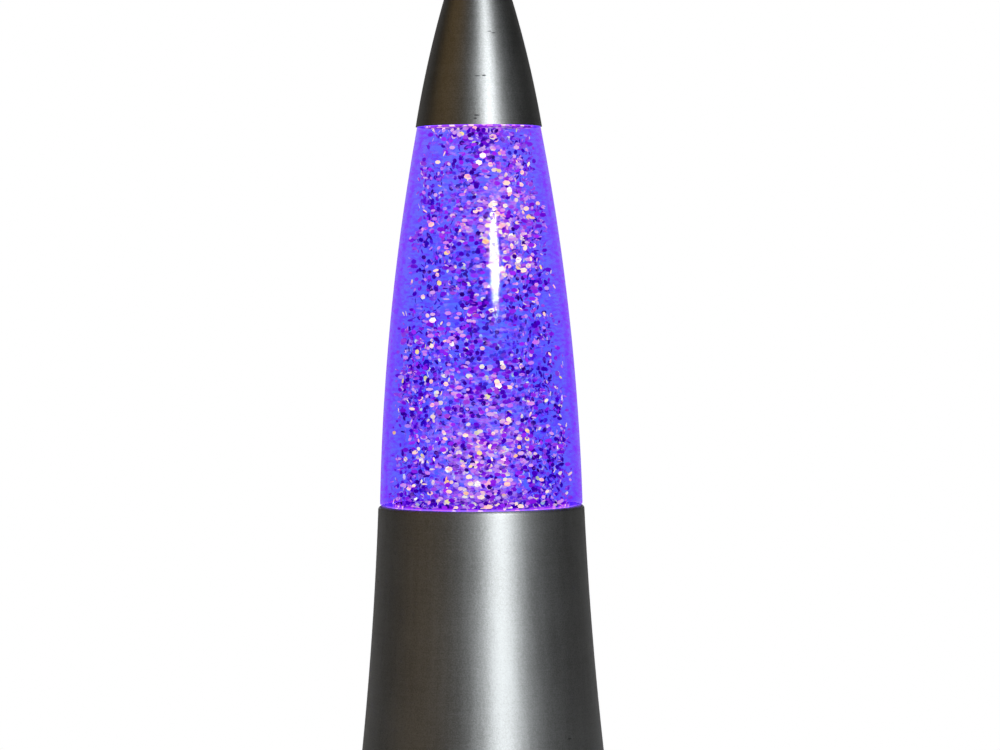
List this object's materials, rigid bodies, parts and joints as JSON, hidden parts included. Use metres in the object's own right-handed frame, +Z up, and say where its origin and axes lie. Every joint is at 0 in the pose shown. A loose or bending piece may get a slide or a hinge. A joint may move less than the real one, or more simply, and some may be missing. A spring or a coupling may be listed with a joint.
{
  "type": "glitter lamp",
  "caption": "Rocket-shaped glitter lamp: flared satin metal base, tapered glass bottle of blue-violet liquid and glitter, pointed lift-off cap, screw-in bulb inside.",
  "frame": {"origin": "on the table, on the lamp's axis, at the centre of the feet", "axes": "+Z up along the lamp's axis, -Y the front, +Y the side with the cord gland"},
  "size_m": [0.114, 0.1155, 0.386],
  "materials": {
    "satin_metal": "satin, fine brushed grain",
    "steel": "zinc plated",
    "brass": "plain",
    "black_rubber": "matt",
    "black_plastic": "moulded, fine texture",
    "white_plastic": "moulded",
    "brown_plastic": "moulded",
    "brown_lead": "wire insulation",
    "blue_lead": "wire insulation",
    "bulb_metal": "nickel plated",
    "bulb_black": "black glass",
    "bulb_glass": "frosted face, silvered sides",
    "filament": "glowing",
    "bottle_glass": "clear",
    "violet_liquid": "clear coloured liquid, lit from below",
    "glitter": "bright film flakes",
    "gold_tin": "lacquered tin plate"
  },
  "bodies": {
    "lamp_base": {"base_shell": "satin_metal", "cover_lugs": "steel", "bottle_seat": "steel", "seat_gasket": "black_rubber", "bottom_cover": "black_plastic", "cover_screws": "steel", "rubber_feet": "black_rubber", "cord_gland": "black_rubber", "terminal_block": "white_plastic", "terminal_sleeves": "brass", "terminal_screws": "steel", "block_screw": "steel", "live_lead": "brown_lead", "neutral_lead": "blue_lead", "holder_bracket": "steel", "bracket_screws": "steel", "holder_nipple": "brass", "nipple_nut": "brass", "holder_cup": "white_plastic", "holder_core": "brown_plastic", "holder_terminals": "brass", "holder_thread": "brass", "centre_contact": "brass", "holder_sleeve": "white_plastic"},
    "bulb_foot": {"bulb_tip": "bulb_metal", "bulb_insulator": "bulb_black"},
    "reflector_bulb": {"bulb_screw_cap": "bulb_metal", "bulb_glass": "bulb_glass", "bulb_stem": "bulb_glass", "bulb_filament": "filament"},
    "filled_bottle": {"bottle": "bottle_glass", "liquid": "violet_liquid", "glitter": "glitter", "bottle_crown": "gold_tin", "crown_seal": "white_plastic"},
    "top_cap": {"cap_shell": "satin_metal", "cap_collar": "white_plastic"}
  },
  "joints": [
    {"name": "bottle_lift", "type": "slide", "parent": "lamp_base", "child": "filled_bottle", "axis": [0, 0, 1], "range_m": [0, 0.1]},
    {"name": "cap_lift", "type": "slide", "parent": "filled_bottle", "child": "top_cap", "axis": [0, 0, 1], "range_m": [0, 0.07]},
    {"name": "bulb_rise", "type": "slide", "parent": "lamp_base", "child": "bulb_foot", "axis": [0, 0, 1], "range_m": [0, 0.0113]},
    {"name": "bulb_turn", "type": "hinge", "parent": "bulb_foot", "child": "reflector_bulb", "pos_m": [0, 0, 0.05], "axis": [0, 0, 1], "range_deg": [0, 1440]}
  ],
  "couplings": [
    {"joint": "bulb_rise", "follows": "bulb_turn", "m_per_rad": 0.00044882}
  ]
}
